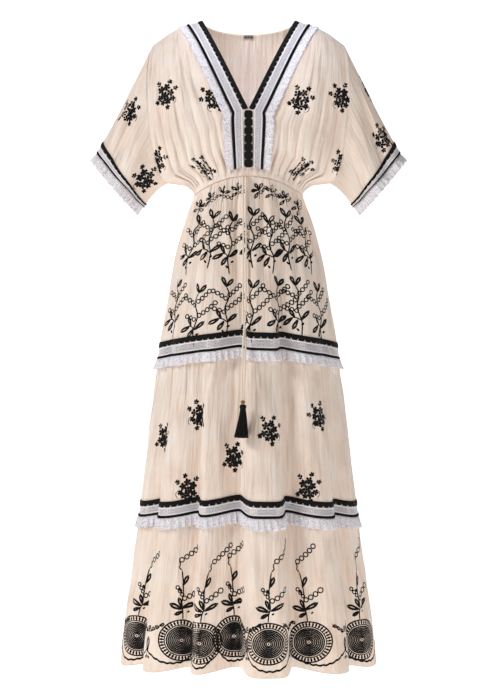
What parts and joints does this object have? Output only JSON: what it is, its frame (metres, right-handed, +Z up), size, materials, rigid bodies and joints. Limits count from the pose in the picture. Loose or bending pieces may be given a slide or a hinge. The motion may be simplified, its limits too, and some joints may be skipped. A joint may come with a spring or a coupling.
{
  "type": "peasant dress",
  "caption": "Long peasant dress with a V neck, wide elbow sleeves, drawn-in waist with a tasselled drawstring, and a tiered skirt trimmed with lace and braid.",
  "frame": {"origin": "midway between the neck ends of the two shoulder seams, where shoulders or a hanger hold the dress", "axes": "+Z up, +X towards the wearer's left, +Y towards the back, so the front faces -Y"},
  "size_m": [0.667, 0.3953, 1.3445],
  "materials": {
    "cotton_voile": "soft matt cotton voile, warm cream",
    "white_lace": "matt cotton lace and frill, cool white",
    "black_braid": "matt black cotton braid and thread",
    "cotton_cord": "twisted cream cotton cord",
    "brass": "satin antique gold bead",
    "grey_ribbon": "dark grey woven ribbon, bare"
  },
  "bodies": {
    "root": {"bodice_front_left": "cotton_voile", "bodice_front_right": "cotton_voile", "bodice_back": "cotton_voile", "sleeve_left": "cotton_voile", "sleeve_right": "cotton_voile", "skirt_upper_front": "cotton_voile", "skirt_upper_back": "cotton_voile", "skirt_middle_front": "cotton_voile", "skirt_middle_back": "cotton_voile", "skirt_lower_front": "cotton_voile", "skirt_lower_back": "cotton_voile", "upper_tier_scallop_braid": "black_braid", "upper_tier_lace": "white_lace", "upper_tier_braid": "black_braid", "upper_tier_frill": "white_lace", "middle_tier_scallop_braid": "black_braid", "middle_tier_lace": "white_lace", "middle_tier_braid": "black_braid", "middle_tier_frill": "white_lace", "neck_scallop_braid_left": "black_braid", "neck_lace_left": "white_lace", "neck_braid_left": "black_braid", "neck_frill_left": "white_lace", "neck_scallop_braid_right": "black_braid", "neck_lace_right": "white_lace", "neck_braid_right": "black_braid", "neck_frill_right": "white_lace", "placket_braid": "black_braid", "cuff_scallop_braid_left": "black_braid", "cuff_lace_left": "white_lace", "cuff_braid_left": "black_braid", "cuff_frill_left": "white_lace", "cuff_scallop_braid_right": "black_braid", "cuff_lace_right": "white_lace", "cuff_braid_right": "black_braid", "cuff_frill_right": "white_lace", "drawstring_left": "cotton_cord", "drawstring_right": "cotton_cord", "drawstring_bead": "brass", "drawstring_tassel": "black_braid", "neck_tab": "grey_ribbon"}
  },
  "joints": []
}
